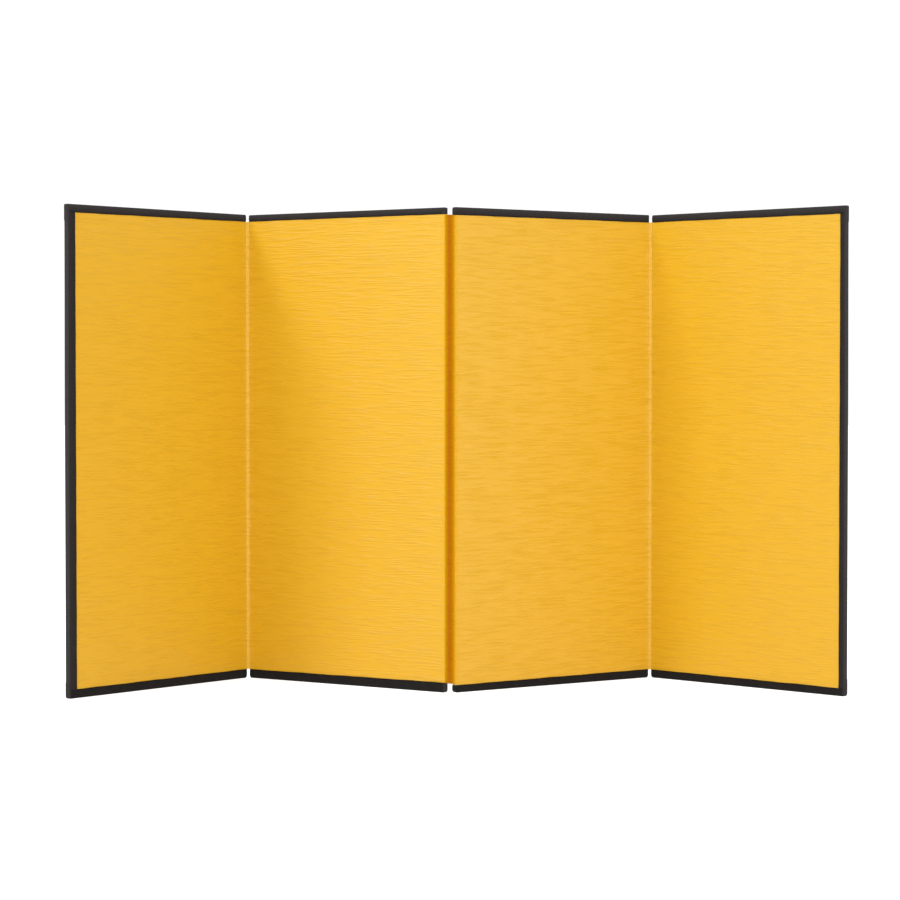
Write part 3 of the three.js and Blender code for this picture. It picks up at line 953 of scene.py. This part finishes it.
def edge_tape(name, panel, edge, turn):
    """A tape folded over an edge: loops in plan, up the inside, round the rim, down the outside."""
    low, high = reach(panel, f"{panel}_{edge}_binding")
    end_round = TOP_CORNER if edge == "top" else BOTTOM_CORNER
    outer_end = OUTER_END.get(panel, 0)
    end_puff = PUFF if edge == "top" else SIDE_PUFF + FOOT_PUFF - 0.08 * MM
    low[0] -= end_puff if outer_end < 0 else PUFF / 2
    high[0] += end_puff if outer_end > 0 else PUFF / 2
    lift = TOP_LIFT[panel] if edge == "top" else 0.0
    high[2] += lift
    side_width = 0.0
    if outer_end:
        side_low, side_high = reach(panel, f"{panel}_side_binding")
        side_width = side_high[0] - side_low[0] + 0.3 * MM
    nominal = plan_loop(low, high, 0.0, 0.0)
    along = (nominal[:, 0] - low[0]) / (high[0] - low[0])
    left_drop, right_drop = FLANGES[panel, edge]
    drop = lift + left_drop + (right_drop - left_drop) * along
    behind = nominal[:, 1] > (low[1] + high[1]) / 2
    drop += wavy(nominal[:, 0], 0.07 * MM, turn)
    drop += np.where(behind, wavy(nominal[:, 0], 0.12 * MM, turn + 1), 0)
    tip = low[0] if outer_end < 0 else high[0]
    inland = np.abs(nominal[:, 0] - tip)
    if outer_end:
        drop = np.where(inland < 0.2 * MM, TAB_LENGTH + wavy(nominal[:, 1], 0.2 * MM, turn), drop)
        lap = LAP * smooth_step(side_width + 0.5 * MM, side_width - 0.3 * MM, inland)
    else:
        lap = np.zeros(len(nominal))
    towards = np.where(behind, 1.0, -1.0)
    wear_and_highlight = []

    def loop(depth, thickness):
        """The loop at a depth from the edge, on the tape's outer face or that far inside it."""
        inner_depth = np.maximum(depth - thickness, 0)
        u_round, v_round = end_round - thickness, EDGE_ROUND - thickness
        least = float(inner_depth.min())
        inset_u = thickness + u_round * (1 - math.sqrt(1 - max(1 - least / u_round, 0) ** 2))
        inset_v = thickness + v_round * (1 - math.sqrt(1 - max(1 - least / v_round, 0) ** 2))
        plan = plan_loop(low, high, inset_u, inset_v)
        flank = np.abs(plan[:, 0] - tip) > 0.35 * MM
        plan[:, 1] += towards * lap * smooth_step(0.6 * MM, 1.5 * MM, depth) * flank
        crown = np.clip((depth - v_round) / (drop - v_round), 0, 1)
        plan[:, 1] += towards * PUFF * np.sin(math.pi * crown) * (1 - lap / LAP) * flank
        # Painted highlight with some wear: the top tape is lightest along its upper fold and darkens down its
        # flange, while the bottom tape is only a touch lighter; the tab's end is lightened too.
        worn_and_lit = (1.0 if edge == "top" else 0.12) * (1 - 0.75 * crown) * (1 - smooth_step(0.82, 0.97, crown))
        if thickness == 0.0:
            wear_and_highlight.append(np.where(flank, worn_and_lit, 0.8))
        else:
            wear_and_highlight.append(np.zeros(len(plan)))
        return np.column_stack([plan, depth])

    ones = np.ones(len(nominal))
    start = max(end_round, EDGE_ROUND)
    bends = [start * (1 - math.cos(t)) for t in np.linspace(0, math.pi / 2, 8)]
    shares = (0.2, 0.4, 0.6, 0.8, 0.93, 1.0)
    inner_share = (start - TAPE_THICKNESS) / start
    chain = []
    for depth in bends:
        chain.append(loop(ones * (TAPE_THICKNESS + depth * inner_share), TAPE_THICKNESS))
    chain += [loop(start + (drop - start) * share, TAPE_THICKNESS) for share in shares]
    rim = (chain[-1] + loop(drop, 0.0)) / 2
    rim[:, 2] += TAPE_THICKNESS * 0.35
    wear_and_highlight[-1] *= 0.0
    chain.append(rim)
    chain += [loop(start + (drop - start) * share, 0.0) for share in shares[::-1]]
    chain += [loop(ones * depth, 0.0) for depth in bends[::-1]]
    flat = np.concatenate(chain)
    rows, around = len(chain), len(nominal)
    row = np.arange(rows - 1)[:, None] * around
    one = np.arange(around)[None, :]
    two = (one + 1) % around
    quads = np.stack([row + one, row + two, row + around + two, row + around + one], -1).reshape(-1, 4)
    faces = quads.tolist() + [list(range(around))[::-1], list(range((rows - 1) * around, rows * around))]
    if edge == "top":
        flat[:, 2] = high[2] - flat[:, 2]
    else:
        flat[:, 2] = low[2] + flat[:, 2]
        faces = [face[::-1] for face in faces]
    piece = make_mesh(name, stand_up(panel, flat), faces)
    steps = np.linalg.norm(np.diff(np.vstack([nominal, nominal[:1]]), axis=0), axis=1)
    girth = np.concatenate([[0], np.cumsum(steps)])
    places = np.column_stack([np.tile(girth[:-1], rows), flat[:, 2]])
    wrap_tube(piece.data, "tape", places, girth[-1])
    set_attribute(piece.data, "wear_and_highlight", "FLOAT", np.concatenate(wear_and_highlight))
    piece.data.materials.append(tape_material)
    return piece


for number, panel in enumerate(PANELS):
    for edge in ("top", "bottom"):
        node = f"{panel}_{edge}_binding"
        turn = 1.7 * number + (0.9 if edge == "top" else 2.3)
        tape = edge_tape(f"{panel}_{edge}_tape", panel, edge, turn)
        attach(tape, panel)
        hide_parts(node)

# ---------------------------------------------------------------- finish
# The box of the finished screen is measured, as the box of its CAD model was at the start.

low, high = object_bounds()
